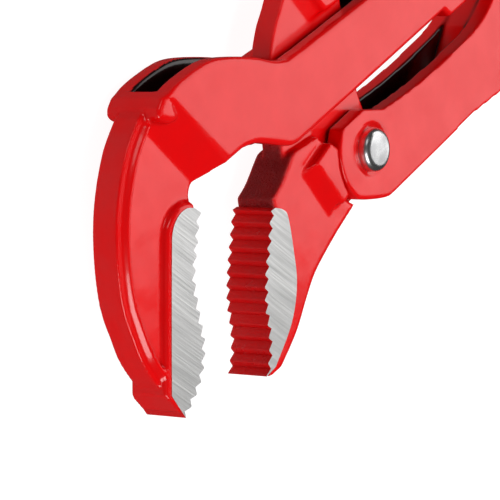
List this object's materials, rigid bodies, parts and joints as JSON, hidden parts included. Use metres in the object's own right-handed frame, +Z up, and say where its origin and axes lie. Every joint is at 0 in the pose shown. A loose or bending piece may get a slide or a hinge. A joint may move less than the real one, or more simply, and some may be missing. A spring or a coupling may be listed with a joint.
{
  "type": "pipe wrench",
  "caption": "Forged pipe wrench with S-shaped toothed jaws, a slotted sliding hook, crossing handles and a knurled adjusting nut.",
  "frame": {"origin": "on the pivot rivet's axis, at the plane the wrench lies on", "axes": "+X from the pivot to the jaws, -Y towards the crossing handle, +Z up through the thickness"},
  "size_m": [0.4204, 0.1161, 0.0225],
  "materials": {
    "hook_paint": "glossy red stove enamel, jaw faces ground bare",
    "lever_paint": "glossy red stove enamel, jaw faces ground bare",
    "handle_paint": "glossy red stove enamel",
    "rivet_steel": "bright steel with a flat headed top",
    "nut_steel": "dark oiled steel, fluted",
    "pin_steel": "plain steel",
    "spring_steel": "blued spring steel",
    "small_rivet_steel": "plain steel"
  },
  "bodies": {
    "handle": {"nut_handle": "handle_paint", "pivot_rivet": "rivet_steel", "shank_spring": "spring_steel", "spring_rivet": "small_rivet_steel"},
    "lever": {"jaw_lever": "lever_paint"},
    "hook": {"hook_jaw": "hook_paint", "shank_stop_pin": "pin_steel"},
    "nut": {"adjusting_nut": "nut_steel"}
  },
  "joints": [
    {"name": "lever_pivot", "type": "hinge", "parent": "handle", "child": "lever", "pos_m": [0, 0, 0.01125], "axis": [0, 0, 1], "range_deg": [-5, 4]},
    {"name": "nut_spin", "type": "hinge", "parent": "handle", "child": "nut", "pos_m": [-0.1065, -0.0254, 0.01125], "axis": [-1, 0, 0], "range_deg": [-720.5, 2970.5]},
    {"name": "hook_slide", "type": "slide", "parent": "handle", "child": "hook", "axis": [1, 0, 0], "range_m": [-0.008, 0.033]}
  ],
  "couplings": [
    {"joint": "nut_spin", "follows": "hook_slide", "rad_per_m": 1570.8}
  ]
}
